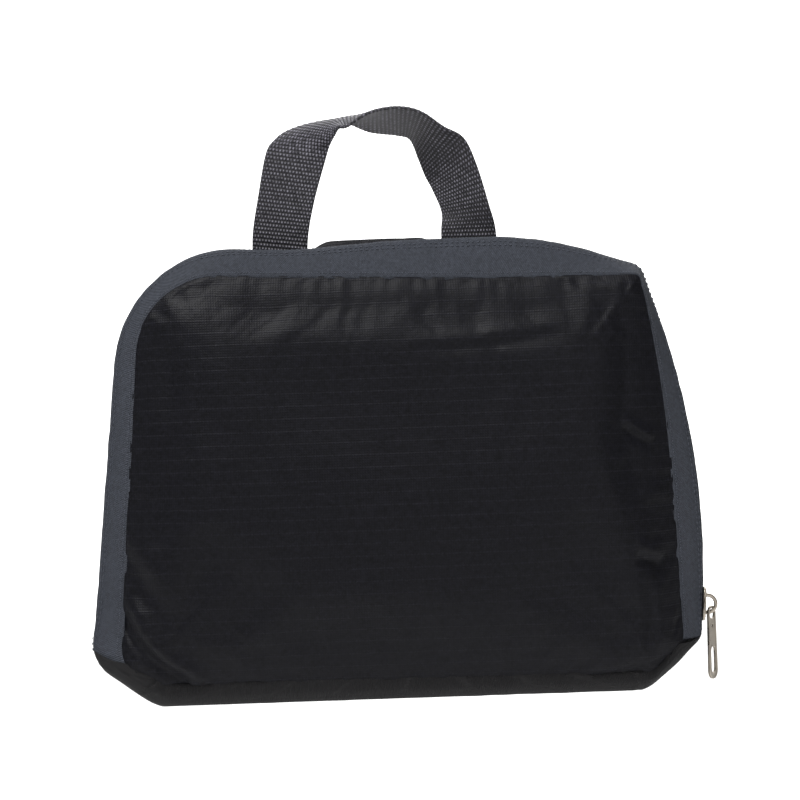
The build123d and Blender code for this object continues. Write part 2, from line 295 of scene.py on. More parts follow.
class Half:
    """The shape of one half of the bag: side -1 is the front, 1 the rear."""

    def __init__(self, name, side, seam_corners, seam, base_seam, crown, belly, overhang, drawn):
        """Depths are in millimetres from the zip plane, of the panel's seam, its crown and its belly.

        overhang is how far the panel stands past its seam, and drawn how much more between the handle's legs.
        """
        self.name = name
        self.body = f"{name}_half"
        self.side = side
        self.zip = outline(ZIP_CORNERS)
        for point in self.zip:
            if point.y > 190:
                point.y -= TAPE_DIP * exp(-(((point.x - TAPE_DIP_X) / TAPE_DIP_WIDTH) ** 2))
        self.seam = matched(seam_corners, self.zip)
        self.side_seam = seam
        self.crown = crown
        self.belly = belly
        self.overhang = overhang
        self.drawn = drawn
        self.depths = []
        for i in range(STEPS):
            self.depths.append(seam + (base_seam - seam) * self.base_share(i))
        self.tree = kdtree.KDTree(STEPS)
        for i, point in enumerate(self.seam):
            self.tree.insert((point.x, 0.0, point.y), i)
        self.tree.balance()
        self.lengths = [0.0]
        for i in range(STEPS):
            self.lengths.append(self.lengths[-1] + (self.zip[(i + 1) % STEPS] - self.zip[i]).length)

    def base_share(self, i):
        """1 along the base, 0 up the sides."""
        i = i % STEPS
        if i > STEPS / 2:
            return smooth(i, LEFT_FOOT - 8, LEFT_FOOT + 12)
        return 1 - smooth(i, RIGHT_FOOT - 8, RIGHT_FOOT + 12)

    def wall(self, i, share):
        """Point on the wall between the zip and the panel's seam, at this share of its depth."""
        i = i % STEPS
        low, high = int(i), (int(i) + 1) % STEPS
        part = i - low
        zip_point = self.zip[low].lerp(self.zip[high], part)
        seam_point = self.seam[low].lerp(self.seam[high], part)
        depth = self.depths[low] * (1 - part) + self.depths[high] * part
        base = self.base_share(i)
        flat = 0.22 + 0.42 * base
        inward = (max(share - flat, 0.0) / (1 - flat)) ** 1.25
        point = zip_point.lerp(seam_point, inward)
        # The base is flat for longer, then turns up to its seam
        bent = min(share * 1.12, 0.9 + 0.1 * share)
        deep = 0.6 + (depth - 0.6) * (share * (1 - base) + bent * base)
        return Vector((point.x, self.side * deep, point.y))

    def outward(self, i, share):
        """Outward direction of the wall."""
        along = self.wall(i + 0.5, share) - self.wall(i - 0.5, share)
        deep = self.wall(i, share + 0.04) - self.wall(i, share - 0.04)
        normal = along.cross(deep).normalized()
        return normal if normal.dot(self.wall(i, share) - MIDDLE) > 0 else -normal

    def on_wall(self, i, share, out):
        """Point at a height over the wall."""
        return self.wall(i, share) + self.outward(i, share) * out

    def nearest(self, x, z):
        """The seam's nearest point, the step before it and its distance."""
        index = self.tree.find((x, 0.0, z))[1]
        here = Vector((x, z))
        found = []
        for k in (index - 1, index):
            start, leg = self.seam[k], self.seam[(k + 1) % STEPS] - self.seam[k]
            share = min(max((here - start).dot(leg) / leg.length_squared, 0.0), 1.0)
            point = start + leg * share
            found.append(((here - point).length, k % STEPS, point))
        distance, step, point = min(found, key=lambda item: item[0])
        return point, step, distance

    def depth(self, x, z):
        """Distance of the panel from the zip plane."""
        _, index, distance = self.nearest(x, z)
        swell = 0.5 + 0.5 * cos(pi * max(min((z - 70.0) / 125.0, 1.0), -1.0))
        seam = self.side_seam + (self.depths[index] - self.side_seam) * exp(-distance / 16.0)
        rise = self.crown * (1 - exp(-distance / 12.0))
        return seam + rise + self.belly * swell * (1 - exp(-distance / 26.0))

    def step_at(self, length):
        """Fractional step at a distance along the zip."""
        low = int(np.searchsorted(self.lengths, length, side="right")) - 1
        low = min(max(low, 0), STEPS - 1)
        return low + (length - self.lengths[low]) / (self.lengths[low + 1] - self.lengths[low])


def build_halves():
    """Both halves' shapes from the sizes in the panel."""
    sizes = bpy.context.scene.bag_sizes
    front = Half(
        "front", -1, FRONT_SEAM_CORNERS, 10.0, 13.4, sizes.front_crown / MM, sizes.front_belly / MM, 0.6, 0.0
    )
    rear = Half(
        "rear", 1, REAR_SEAM_CORNERS, 14.0, 16.6, sizes.rear_crown / MM, sizes.rear_belly / MM, 2.6, 7.4
    )
    return front, rear


def mapped_grid(name, columns, rows, place):
    """A mesh object from a grid whose points go where place(column, row) says.

    place returns the point in millimetres and, for the weave, the distances along and across the cloth.
    """
    bm = bmesh.new()
    bmesh.ops.create_grid(bm, x_segments=columns, y_segments=rows, size=1.0)
    cloth = bm.loops.layers.uv.new("Cloth")
    flat = {}
    for vert in bm.verts:
        column = round((vert.co.x + 1) / 2 * columns)
        row = round((vert.co.y + 1) / 2 * rows)
        point, weave = place(column, row)
        vert.co = Vector(point) * MM
        flat[vert.index] = Vector(weave) * MM
    for face in bm.faces:
        for loop in face.loops:
            loop[cloth].uv = flat[loop.vert.index]
    return finished(name, bm)


def finished(name, bm, shade_smooth=True):
    """An object with this mesh, at the origin."""
    mesh = bpy.data.meshes.new(name)
    for face in bm.faces:
        face.smooth = shade_smooth
    bm.to_mesh(mesh)
    bm.free()
    piece = bpy.data.objects.new(name, mesh)
    bpy.context.scene.collection.objects.link(piece)
    return piece


def turn_outwards(piece, side):
    """Turn an open sheet's faces so that they look away from the zip plane or the bag's middle."""
    mesh = piece.data
    total = 0.0
    middle = MIDDLE * MM
    for polygon in mesh.polygons:
        total += polygon.area * polygon.normal.dot((polygon.center - middle) + Vector((0, side * 0.02, 0)))
    if total < 0:
        mesh.flip_normals()


def thicken(piece, thickness, offset):
    """Give an open sheet its thickness."""
    solid = piece.modifiers.new("Thickness", "SOLIDIFY")
    solid.thickness = thickness * MM
    solid.offset = offset
    solid.use_even_offset = False


def refine(piece, levels):
    """Subdivision with equal levels in the viewport and the render."""
    surface = piece.modifiers.new("Smooth", "SUBSURF")
    surface.levels = levels
    surface.render_levels = levels


def add_node(tree, kind, inputs=None, **settings):
    """Add one node with its settings, and the values or links of its inputs."""
    node = tree.nodes.new(kind)
    for name, value in settings.items():
        setattr(node, name, value)
    for key, value in (inputs or {}).items():
        if isinstance(value, bpy.types.NodeSocket):
            tree.links.new(value, node.inputs[key])
        else:
            node.inputs[key].default_value = value
    return node


def start_material(name, roughness, specular=0.5, metallic=0.0):
    """An empty material with its shader."""
    material = bpy.data.materials.new(name)
    material.use_nodes = True
    tree = material.node_tree
    tree.nodes.clear()
    shader = add_node(
        tree,
        "ShaderNodeBsdfPrincipled",
        {"Roughness": roughness, "Specular IOR Level": specular, "Metallic": metallic},
    )
    add_node(tree, "ShaderNodeOutputMaterial", {"Surface": shader.outputs["BSDF"]})
    return material, tree, shader


def threads(tree, value, pitch):
    """Crowns of threads laid side by side: 1 on each crown and 0 between them, at a pitch in metres."""
    turns = add_node(tree, "ShaderNodeMath", {0: value, 1: 2 * pi / pitch}, operation="MULTIPLY")
    ripple = add_node(tree, "ShaderNodeMath", {0: turns.outputs[0]}, operation="COSINE")
    half = add_node(tree, "ShaderNodeMath", {0: ripple.outputs[0], 1: 0.5, 2: 0.5}, operation="MULTIPLY_ADD")
    return half.outputs[0]


def cloth_coordinates(tree):
    """Distances along and across the cloth, in metres."""
    cloth = add_node(tree, "ShaderNodeUVMap", uv_map="Cloth")
    parts = add_node(tree, "ShaderNodeSeparateXYZ", {0: cloth.outputs[0]})
    return parts.outputs[0], parts.outputs[1]


def tinted(tree, shader, colour, pattern, lighter, mottle_size=0.02, mottle=0.12):
    """Colour the shader: the base colour, lighter where the pattern is 1, with a soft uneven dye."""
    place = add_node(tree, "ShaderNodeTexCoord").outputs["Object"]
    dye = add_node(
        tree,
        "ShaderNodeTexNoise",
        {"Vector": place, "Scale": 1 / mottle_size, "Detail": 3.0, "Roughness": 0.6},
    )
    limits = {"From Min": 0.3, "From Max": 0.7, "To Min": 1 - mottle, "To Max": 1 + mottle}
    spread = add_node(tree, "ShaderNodeMapRange", {"Value": dye.outputs[0], **limits})
    lift = add_node(tree, "ShaderNodeMath", {0: pattern, 1: lighter, 2: 1.0}, operation="MULTIPLY_ADD")
    gain = add_node(tree, "ShaderNodeMath", {0: lift.outputs[0], 1: spread.outputs[0]}, operation="MULTIPLY")
    paint = add_node(
        tree,
        "ShaderNodeVectorMath",
        {0: colour[:3], "Scale": gain.outputs[0]},
        operation="SCALE",
    )
    tree.links.new(paint.outputs[0], shader.inputs["Base Color"])
    return place


def bumped(tree, shader, height, strength, distance):
    """Relief of the surface, with its depth in millimetres."""
    bump = add_node(
        tree, "ShaderNodeBump", {"Strength": strength, "Distance": distance * MM, "Height": height}
    )
    tree.links.new(bump.outputs[0], shader.inputs["Normal"])


def ripstop_nylon(colours, sizes):
    """Ripstop nylon, plain woven, with heavier threads laid in at each grid line.

    It is a near-black cloth with a soft sheen on its folds, ruled with faint dotted lines.
    """
    material, tree, shader = start_material("ripstop_nylon_woven", 0.5, 0.1)
    along, across = cloth_coordinates(tree)
    grid = threads(tree, across, sizes.ripstop_grid)
    line = add_node(tree, "ShaderNodeMath", {0: grid, 1: 34.0}, operation="POWER").outputs[0]
    # The heavy thread shows only where it passes over the crossing ones, which gives a dotted line
    dots = threads(tree, along, 1.5 * MM)
    dotted = add_node(tree, "ShaderNodeMath", {0: line, 1: dots}, operation="MULTIPLY").outputs[0]
    # Fine upright ribs of the plain weave, drawn at 1.1 mm so that they show
    ribs = threads(tree, along, 1.1 * MM)
    rows = threads(tree, across, 1.1 * MM)
    weave = add_node(tree, "ShaderNodeMath", {0: ribs, 1: rows}, operation="MULTIPLY").outputs[0]
    mottled = add_node(tree, "ShaderNodeMath", {0: weave, 1: 0.5, 2: dotted}, operation="MULTIPLY_ADD")
    place = tinted(tree, shader, colours.ripstop, mottled.outputs[0], 1.1, 0.0016, 0.5)
    crinkle = add_node(
        tree, "ShaderNodeTexNoise", {"Vector": place, "Scale": 420.0, "Detail": 4.0, "Roughness": 0.7}
    )
    fine = add_node(
        tree, "ShaderNodeMath", {0: weave, 1: 0.35, 2: crinkle.outputs[0]}, operation="MULTIPLY_ADD"
    )
    relief = add_node(
        tree, "ShaderNodeMath", {0: line, 1: 0.25, 2: fine.outputs[0]}, operation="MULTIPLY_ADD"
    )
    bumped(tree, shader, relief.outputs[0], 0.6, 0.3)
    return material


def polyester_tape(name, colour, ground, rib):
    """Woven polyester tape, a fine twill."""
    material, tree, shader = start_material(name, 0.7, 0.25)
    along, across = cloth_coordinates(tree)
    slant = add_node(tree, "ShaderNodeMath", {0: along, 1: across}, operation="ADD").outputs[0]
    twill = threads(tree, slant, rib * MM)
    place = tinted(tree, shader, colour, twill, ground, 0.0014, 0.3)
    fuzz = add_node(
        tree, "ShaderNodeTexNoise", {"Vector": place, "Scale": 700.0, "Detail": 3.0, "Roughness": 0.7}
    )
    relief = add_node(
        tree, "ShaderNodeMath", {0: twill, 1: 0.8, 2: fuzz.outputs[0]}, operation="MULTIPLY_ADD"
    )
    bumped(tree, shader, relief.outputs[0], 0.8, 0.35)
    return material


def webbing_nylon(colours, sizes):
    """Nylon webbing in a plain weave, with a painted highlight on its thread crowns in staggered rows and
    painted shade in the grooves between them.
    """
    material, tree, shader = start_material("nylon_webbing_woven", 0.55, 0.3)
    along, across = cloth_coordinates(tree)
    rows = threads(tree, along, sizes.web_row)
    # Every second row is shifted by half the distance between warp threads
    turn = add_node(
        tree, "ShaderNodeMath", {0: along, 1: 1 / sizes.web_row, 2: 0.5}, operation="MULTIPLY_ADD"
    ).outputs[0]
    number = add_node(tree, "ShaderNodeMath", {0: turn}, operation="FLOOR").outputs[0]
    shift = add_node(tree, "ShaderNodeMath", {0: number, 1: 0.7 * MM}, operation="MULTIPLY").outputs[0]
    shifted = add_node(tree, "ShaderNodeMath", {0: across, 1: shift}, operation="ADD").outputs[0]
    crowns = threads(tree, shifted, 1.4 * MM)
    narrow = add_node(tree, "ShaderNodeMath", {0: rows, 1: 1.2}, operation="POWER").outputs[0]
    pattern = add_node(tree, "ShaderNodeMath", {0: narrow, 1: crowns}, operation="MULTIPLY").outputs[0]
    place = add_node(tree, "ShaderNodeTexCoord").outputs["Object"]
    fuzz = add_node(
        tree, "ShaderNodeTexNoise", {"Vector": place, "Scale": 620.0, "Detail": 2.0, "Roughness": 0.6}
    )
    # The painted highlight is uneven, so no two crowns get the same
    uneven = add_node(
        tree,
        "ShaderNodeMapRange",
        {"Value": fuzz.outputs[0], "From Min": 0.36, "From Max": 0.64, "To Min": 0.3, "To Max": 1.25},
    )
    bright = add_node(tree, "ShaderNodeMath", {0: pattern, 1: uneven.outputs[0]}, operation="MULTIPLY")
    # Base colour: painted shade in the grooves, painted highlight where the crowns rise
    mix = add_node(
        tree,
        "ShaderNodeMix",
        {0: bright.outputs[0], 6: colours.web_groove_painted_shade, 7: colours.web_crown_painted_highlight},
        data_type="RGBA",
    )
    tree.links.new(mix.outputs[2], shader.inputs["Base Color"])
    relief = add_node(
        tree, "ShaderNodeMath", {0: fuzz.outputs[0], 1: 0.25, 2: pattern}, operation="MULTIPLY_ADD"
    )
    bumped(tree, shader, relief.outputs[0], 0.9, 0.6)
    return material


def plated_nickel(colours):
    """Die-cast zinc, tumbled and plated with nickel: soft bright metal with faint tumbling marks."""
    material, tree, shader = start_material("nickel_plated_zinc", 0.34, 0.5, 1.0)
    place = add_node(tree, "ShaderNodeTexCoord").outputs["Object"]
    marks = add_node(
        tree, "ShaderNodeTexNoise", {"Vector": place, "Scale": 1400.0, "Detail": 3.0, "Roughness": 0.7}
    )
    film = add_node(
        tree, "ShaderNodeTexNoise", {"Vector": place, "Scale": 240.0, "Detail": 2.0, "Roughness": 0.5}
    )
    rough = add_node(
        tree,
        "ShaderNodeMapRange",
        {"Value": film.outputs[0], "From Min": 0.3, "From Max": 0.7, "To Min": 0.26, "To Max": 0.42},
    )
    tree.links.new(rough.outputs[0], shader.inputs["Roughness"])
    shade = add_node(
        tree,
        "ShaderNodeMapRange",
        {"Value": film.outputs[0], "From Min": 0.3, "From Max": 0.7, "To Min": 0.86, "To Max": 1.08},
    )
    paint = add_node(
        tree, "ShaderNodeVectorMath", {0: colours.nickel[:3], "Scale": shade.outputs[0]}, operation="SCALE"
    )
    tree.links.new(paint.outputs[0], shader.inputs["Base Color"])
    bumped(tree, shader, marks.outputs[0], 0.12, 0.1)
    return material


def soft_plain(name, colour, roughness, grain, relief):
    """A plain fabric or foam whose grain, in millimetres, gives it a dull, slightly uneven face."""
    material, tree, shader = start_material(name, roughness, 0.25)
    place = add_node(tree, "ShaderNodeTexCoord").outputs["Object"]
    cells = add_node(
        tree,
        "ShaderNodeTexNoise",
        {"Vector": place, "Scale": 1 / (grain * MM), "Detail": 3.0, "Roughness": 0.65},
    )
    tinted(tree, shader, colour, cells.outputs[0], 0.3, 0.01, 0.1)
    bumped(tree, shader, cells.outputs[0], 0.5, relief)
    return material


def dress(piece, body, slot, material, *nodes):
    """Give a piece its finish, its body if it has just one, and the CAD nodes that it stands for."""
    piece.data.materials.append(material)
    if body:
        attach(piece, body)
    if nodes:
        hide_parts(*nodes)


def made_once(name, make, *values):
    """The material of this name, made from these values the first time it is asked for."""
    return bpy.data.materials.get(name) or make(*values)


def add_sewn(piece, half, thickness, slot, material, node):
    """Finish a sheet of one half: faces outwards, thickness inwards, then its material, body and node."""
    turn_outwards(piece, half.side)
    thicken(piece, thickness, -1.0)
    dress(piece, half.body, slot, material, f"{half.name}_{node}")


def patch_sides(half):
    """The four sides of a panel's seam outline: bottom and top from the left, left and right from below."""
    bottom_left = STEPS - SIDE_STEPS[7] // 2
    bottom_right = CORNER_STEPS[0] + SIDE_STEPS[0] + CORNER_STEPS[1] + SIDE_STEPS[1] // 2
    top_right = RIGHT_FOOT + sum(CORNER_STEPS[2:4]) + sum(SIDE_STEPS[2:4]) + CORNER_STEPS[4] // 2
    top_left = LEFT_FOOT - SIDE_STEPS[6] - CORNER_STEPS[6] // 2
    ring = half.seam
    bottom = ring[bottom_left:] + ring[: bottom_right + 1]
    right = ring[bottom_right : top_right + 1]
    top = list(reversed(ring[top_right : top_left + 1]))
    left = list(reversed(ring[top_left : bottom_left + 1]))
    return bottom, right, top, left


def even(points, count):
    """The same line in count equal steps."""
    distances = travelled(points)
    targets = np.linspace(0, distances[-1], count + 1)
    xs = np.interp(targets, distances, [p.x for p in points])
    zs = np.interp(targets, distances, [p.y for p in points])
    return [Vector((x, z)) for x, z in zip(xs, zs)]


def panel_patch(half, columns, rows):
    """Flat points (x, z) of a panel, row by row, filling its seam outline."""
    bottom, right, top, left = patch_sides(half)
    bottom, top = even(bottom, columns), even(top, columns)
    left, right = even(left, rows), even(right, rows)
    grid = []
    for j in range(rows + 1):
        v = j / rows
        line = []
        for i in range(columns + 1):
            u = i / columns
            ruled = bottom[i] * (1 - v) + top[i] * v + left[j] * (1 - u) + right[j] * u
            corners = (bottom[0] * (1 - u) + bottom[-1] * u) * (1 - v) + (top[0] * (1 - u) + top[-1] * u) * v
            line.append(ruled - corners)
        grid.append(line)
    return grid


def panel_sheet(name, half, columns, rows, inset):
    """A sheet in the shape of a half's panel, set inwards by inset."""
    patch = panel_patch(half, columns, rows)

    def place(column, row):
        flat = patch[row][column]
        near, index, distance = half.nearest(flat.x, flat.y)
        away = Vector((near.x - MIDDLE.x, near.y - MIDDLE.z)).normalized()
        high = 1 + 1.1 * smooth(flat.y, 150.0, 195.0)
        # Between the handle's legs the rear panel is drawn up over the zip
        drawn = half.drawn * smooth(flat.y, 170.0, 192.0) * (1 - smooth(abs(flat.x + 4.0), 18.0, 34.0))
        out = (half.overhang * high + drawn) * sin(pi * min(distance / 18.0, 1.0))
        if inset > 0:
            out = -inset * 0.8
        away = away * out
        depth = half.depth(flat.x, flat.y) - inset
        if inset == 0:
            depth = max(depth, half.depths[index])
        return (flat.x + away.x, half.side * depth, flat.y + away.y), (flat.x, flat.y)

    return mapped_grid(name, columns, rows, place)


def settle(piece, side, pressure, slack, cap):
    """Let the cloth swell between its pinned seams, then keep the result, moved by up to cap millimetres."""
    mesh = piece.data
    start = np.array([v.co for v in mesh.vertices], float)
    rim = set()
    bm = bmesh.new()
    bm.from_mesh(mesh)
    for edge in bm.edges:
        if edge.is_boundary:
            rim.update(v.index for v in edge.verts)
    bm.free()
    group = piece.vertex_groups.new(name="seam")
    group.add(sorted(rim), 1.0, "REPLACE")
    cloth = piece.modifiers.new("Swell", "CLOTH")
    settings = cloth.settings
    settings.quality = 5
    settings.mass = 0.15
    settings.tension_stiffness = 12
    settings.compression_stiffness = 12
    settings.shear_stiffness = 4
    settings.bending_stiffness = 0.06
    settings.air_damping = 2
    settings.use_pressure = True
    settings.uniform_pressure_force = pressure
    settings.vertex_group_mass = "seam"
    settings.shrink_min = -slack
    settings.shrink_max = -slack
    settings.effector_weights.gravity = 0
    cloth.collision_settings.use_collision = False
    scene = bpy.context.scene
    scene.frame_start = 1
    scene.frame_end = 20
    for number in range(1, 21):
        scene.frame_set(number)
    graph = bpy.context.evaluated_depsgraph_get()
    evaluated = piece.evaluated_get(graph)
    end = np.array([v.co for v in evaluated.data.vertices], float)
    piece.modifiers.remove(cloth)
    piece.vertex_groups.remove(group)
    move = end - start
    move[:, 1] = side * np.maximum(side * move[:, 1], -0.5 * MM)
    length = np.linalg.norm(move, axis=1)
    scale = np.minimum(1.0, cap * MM / np.maximum(length, 1e-9))
    end = start + move * scale[:, None]
    mesh.vertices.foreach_set("co", end.ravel())
    mesh.update()
    scene.frame_set(1)


def press_folds(piece, side, folds):
    """Raise and sink the panel along fold lines."""
    count = len(piece.data.vertices)
    co = np.empty(count * 3)
    piece.data.vertices.foreach_get("co", co)
    co = co.reshape(-1, 3)
    flat = co[:, (0, 2)] / MM
    lift = np.zeros(count)
    for width, height, points in folds:
        bends = [Vector(point) for point in points]
        steps = 8 * (len(bends) - 1)
        points = np.array([through(bends, step / 8) for step in range(steps + 1)])
        legs = np.linalg.norm(np.diff(points, axis=0), axis=1)
        total = legs.sum()
        best = np.full(count, 1e9)
        share = np.zeros(count)
        done = 0.0
        for a, b, leg in zip(points, points[1:], legs):
            t = np.clip(((flat - a) @ (b - a)) / leg**2, 0, 1)
            gap = np.linalg.norm(flat - (a + t[:, None] * (b - a)), axis=1)
            closer = gap < best
            best = np.where(closer, gap, best)
            share = np.where(closer, (done + t * leg) / total, share)
            done += leg
        taper = np.clip(4 * share * (1 - share), 0, 1) ** 0.6
        lift += height * np.exp(-((best / width) ** 2)) * taper
    co[:, 1] += side * lift * MM
    piece.data.vertices.foreach_set("co", co.ravel())
    piece.data.update()


def gather(piece, half, height, seed):
    """Small gathers that run in from the seam, and a slight unevenness all over."""
    mesh = piece.data
    for vert in mesh.vertices:
        x, z = vert.co.x / MM, vert.co.z / MM
        near, _, distance = half.nearest(x, z)
        across = noise.noise(Vector((near.x / 4.2, near.y / 4.2, seed + distance / 30.0)))
        broad = noise.noise(Vector((near.x / 12.0, near.y / 12.0, seed + 7 + distance / 40.0)))
        rim = smooth(distance, 0.0, 2.5) * exp(-distance / 9.0)
        broad_rim = smooth(distance, 0.0, 5.0) * exp(-distance / 20.0)
        sway = noise.noise(Vector((x / 34.0 + z / 60.0, z / 46.0 - x / 90.0, seed + 3)))
        soft = smooth(distance, 2.0, 20.0)
        lift = height * (1.0 * across * rim + 1.7 * broad * broad_rim + 1.3 * sway * soft)
        vert.co.y += half.side * lift * MM
    mesh.update()


def baked_subdivision(piece):
    """One round of smoothing subdivision, kept in the mesh."""
    refine(piece, 1)
    graph = bpy.context.evaluated_depsgraph_get()
    mesh = bpy.data.meshes.new_from_object(piece.evaluated_get(graph))
    piece.modifiers.clear()
    old = piece.data
    piece.data = mesh
    bpy.data.meshes.remove(old)


def add_panel(half, folds, seed):
    """One outer panel, swollen, folded and gathered."""
    colours, sizes = bpy.context.scene.bag_colours, bpy.context.scene.bag_sizes
    piece = panel_sheet(f"{half.name}_panel_cloth", half, 150, 112, 0)
    turn_outwards(piece, half.side)
    settle(piece, half.side, SWELL_PRESSURE, SWELL_SLACK, SWELL_CAP)
    baked_subdivision(piece)
    press_folds(piece, half.side, folds)
    gather(piece, half, sizes.pucker / MM, seed)
    thicken(piece, 0.7, -1.0)
    ripstop = made_once("ripstop_nylon_woven", ripstop_nylon, colours, sizes)
    dress(piece, half.body, "ripstop", ripstop, f"{half.name}_panel")


class BAG_OT_panels(bpy.types.Operator):
    """Add the ripstop panels of both halves"""

    bl_idname = "bag.panels"
    bl_label = "Panels"

    def execute(self, context):
        front, rear = build_halves()
        add_panel(front, FRONT_FOLDS, 1.0)
        add_panel(rear, (), 40.0)
        return {"FINISHED"}


class BAG_OT_padding(bpy.types.Operator):
    """Add the foam, the lining and the mesh pockets inside both halves"""

    bl_idname = "bag.padding"
    bl_label = "Padding and pockets"

    def execute(self, context):
        colours, sizes = context.scene.bag_colours, context.scene.bag_sizes
        foam = soft_plain("polyurethane_foam_cut", colours.foam, 0.95, 0.6, 0.3)
        lining = polyester_tape("polyester_taffeta_lining", colours.lining, 0.15, 0.9)
        net = soft_plain("polyester_mesh_knitted", colours.net, 0.7, 0.3, 0.1)
        elastic = polyester_tape("elastic_woven", colours.binding, 0.5, 1.6)
        for half in build_halves():
            piece = panel_sheet(f"{half.name}_foam_pad", half, 60, 45, 2.4)
            add_sewn(piece, half, 1.2, "foam", foam, "foam")
            piece = panel_sheet(f"{half.name}_lining_cloth", half, 80, 60, 3.9)
            add_sewn(piece, half, 0.4, "lining", lining, "lining")
            self.add_pocket(half, net, elastic, sizes.net / MM)
        return {"FINISHED"}

    def add_pocket(self, half, net, elastic, opening):
        """A net pocket against the lining, closed by elastic along its top."""
        low, high, top = 22.0, 105.0, 113.0
        _, right_side, _, left_side = patch_sides(half)

        def pocket_point(u, z, gap):
            left = np.interp(z, [p.y for p in left_side], [p.x for p in left_side]) + 9.0
            right = np.interp(z, [p.y for p in right_side], [p.x for p in right_side]) - 9.0
            x = left + (right - left) * u
            bulge = 4.5 * abs(sin(pi * u)) ** 0.6 * sin(pi / 2 * min((z - low) / (high - low), 1.0)) ** 0.7
            return (x, half.side * (half.depth(x, z) - 4.0 - gap - bulge), z), (x, z)

        columns, rows = int(230 / opening), int((high - low) / opening)
        piece = mapped_grid(
            f"{half.name}_pocket_net",
            columns,
            rows,
            lambda i, j: pocket_point(i / columns, low + (high - low) * j / rows, 0.0),
        )
        cords = piece.modifiers.new("Cords", "WIREFRAME")
        cords.thickness = 0.45 * MM
        cords.use_boundary = True
        cords.use_replace = True
        dress(piece, half.body, "mesh", net, f"{half.name}_mesh_pocket")
        piece = mapped_grid(
            f"{half.name}_pocket_band",
            70,
            8,
            lambda i, j: pocket_point(i / 70, high - 1 + (top - high + 1) * j / 8, 0.3 * sin(i * 1.9)),
        )
        turn_outwards(piece, half.side)
        thicken(piece, 1.1, 0.0)
        refine(piece, 1)
        dress(piece, half.body, "elastic", elastic, f"{half.name}_pocket_elastic")


def wall_sheet(name, half, first, last, near, far, rows, out, wobble=0.0):
    """A strip of cloth on the wall, from step first to step last."""
    columns = int(last - first)

    def place(column, row):
        i = first + column
        share = near + (far - near) * row / rows
        lift = out(i, share) if callable(out) else out
        wave_out = wobble * noise.noise(Vector((half.lengths[int(i) % STEPS] / 6.0, share * 2, half.side)))
        along = half.lengths[int(i) % STEPS] + (half.lengths[-1] if i >= STEPS else 0)
        return half.on_wall(i, share, lift + wave_out), (along, share * 17.0)

    return mapped_grid(name, columns, rows, place)


def beads(name, places, size, rings=4, segments=6):
    """Small rounded stitches or teeth of one size in millimetres, at the places given by matrices."""
    whole = bmesh.new()
    scale = Matrix.Diagonal((*(Vector(size) * MM / 2), 1.0))
    for start in range(0, len(places), 30):
        few = bmesh.new()
        for place in places[start : start + 30]:
            bmesh.ops.create_uvsphere(
                few, u_segments=segments, v_segments=rings, radius=1.0, matrix=place @ scale
            )
        mesh = bpy.data.meshes.new(name)
        few.to_mesh(mesh)
        few.free()
        whole.from_mesh(mesh)
        bpy.data.meshes.remove(mesh)
    return finished(name, whole)


def wall_frame(half, i, share, out, turn=0.0):
    """Matrix at a point on the wall, with X along the zip, Y across the tape and Z outwards, in metres."""
    normal = half.outward(i, share)
    along = (half.wall(i + 0.5, share) - half.wall(i - 0.5, share)).normalized()
    along = (along - normal * along.dot(normal)).normalized()
    across = normal.cross(along)
    axes = Matrix((along, across, normal)).transposed().to_4x4()
    return Matrix.Translation(half.on_wall(i, share, out) * MM) @ axes @ Matrix.Rotation(turn, 4, "Z")


def along_wall(half, first, last, share, out, pitch, zigzag=0.0):
    """Places in a row along the wall, turned to and fro by zigzag."""
    start, end = half.lengths[first], half.lengths[last]
    places = []
    for k in range(int((end - start) / pitch)):
        i = half.step_at(start + (k + 0.5) * pitch)
        places.append(wall_frame(half, i, share, out, zigzag if k % 2 else -zigzag))
    return places


class BAG_OT_tapes(bpy.types.Operator):
    """Add the zip tapes with their stitching, the coils and the bindings over the inner seams"""

    bl_idname = "bag.tapes"
    bl_label = "Zip tapes"

    def execute(self, context):
        colours, sizes = context.scene.bag_colours, context.scene.bag_sizes
        tape = polyester_tape("polyester_zip_tape", colours.tape, 0.22, 1.0)
        thread = soft_plain("polyester_thread", colours.thread, 0.6, 0.4, 0.1)
        coil = soft_plain("polyester_coil", colours.coil, 0.45, 0.5, 0.05)
        binding = polyester_tape("polyester_binding", colours.binding, 0.3, 1.2)
        for half in build_halves():
            first, last = RIGHT_FOOT + 3, LEFT_FOOT + 6
            piece = wall_sheet(f"{half.name}_tape_cloth", half, first, last, 0.0, 1.04, 14, self.puff, 0.25)
            add_sewn(piece, half, 0.8, "tape", tape, "zip_tape")
            pitch = sizes.stitch / MM
            places = []
            for share in (0.36, 0.44):
                places += along_wall(half, first + 2, last - 2, share, 0.62, pitch)
            piece = beads(f"{half.name}_tape_stitches", places, (pitch * 0.62, 0.34, 0.34))
            dress(piece, half.body, "tape", thread)
            places = along_wall(half, first + 2, last - 2, 0.93, 0.2, 1.3, radians(38))
            piece = beads(f"{half.name}_tape_overlock", places, (1.2, 0.32, 0.32))
            dress(piece, half.body, "tape", thread)
            places = along_wall(half, first, last - 4, 0.11, -1.75, sizes.coil_pitch / MM)
            piece = beads(f"{half.name}_coil_teeth", places, (1.0, 2.3, 1.44), 4, 8)
            dress(piece, half.body, "coil", coil, f"{half.name}_zip_coil")
            piece = wall_sheet(f"{half.name}_binding_tape", half, 0, STEPS, 0.78, 1.03, 6, -1.5)
            add_sewn(piece, half, 1.1, "binding", binding, "seam_binding")
        return {"FINISHED"}

    @staticmethod
    def puff(i, share):
        """The tape bows out a little between the zip and its seam."""
        return 0.3 * sin(pi * min(share, 1.0))


